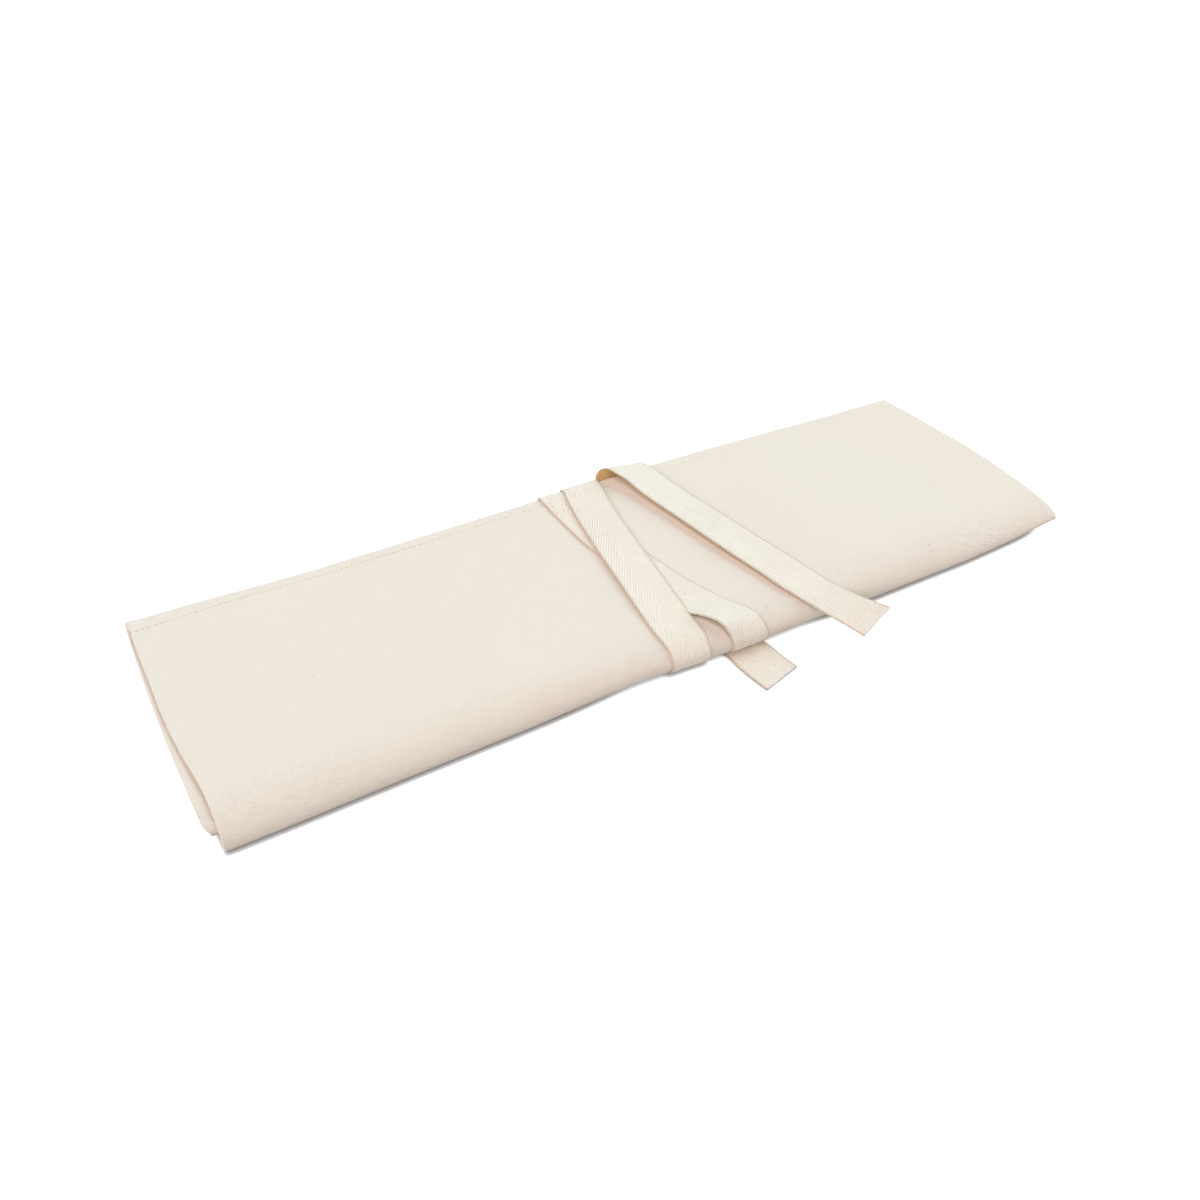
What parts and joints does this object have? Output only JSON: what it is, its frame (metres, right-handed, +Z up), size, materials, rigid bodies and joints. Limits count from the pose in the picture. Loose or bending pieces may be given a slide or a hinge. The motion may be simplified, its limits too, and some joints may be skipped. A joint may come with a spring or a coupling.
{
  "type": "saw roll",
  "caption": "Empty canvas tool roll for flat saws, folded flat in a spiral with a pocket panel inside, closed by a wound cotton tape sewn to the flap's hem.",
  "frame": {"origin": "centre of the folded roll's box, without the tape's tails, on the surface it lies on", "axes": "+X along the roll to its right end, +Y from the front fold to the flap's free hem, +Z up"},
  "size_m": [0.6324, 0.2481, 0.0221],
  "materials": {
    "canvas": "unbleached cotton canvas, plain weave",
    "pocket_canvas": "unbleached cotton canvas, plain weave",
    "tape": "cotton herringbone tape"
  },
  "bodies": {
    "roll": {"cover_front_fold": "canvas", "cover_base": "canvas", "cover_back_fold": "canvas", "cover_inner_panel": "canvas", "cover_inner_fold": "canvas", "cover_core_panel": "canvas", "saw_pocket_base": "pocket_canvas", "saw_pocket_back_fold": "pocket_canvas", "saw_pocket_inner": "pocket_canvas", "saw_pocket_inner_fold": "pocket_canvas", "saw_pocket_core": "pocket_canvas", "tape_upper_tail": "tape", "tape_lower_tail": "tape"},
    "flap": {"cover_flap": "canvas", "flap_edge_hem": "canvas", "flap_left_hem": "canvas", "flap_right_hem": "canvas", "tape_anchor": "tape"}
  },
  "joints": [
    {"name": "flap_fold", "type": "hinge", "parent": "roll", "child": "flap", "pos_m": [0, -0.104, 0.0113], "axis": [1, 0, 0], "range_deg": [0, 181], "deforming": ["cover_front_fold", "tape_upper_tail", "tape_lower_tail"]}
  ]
}
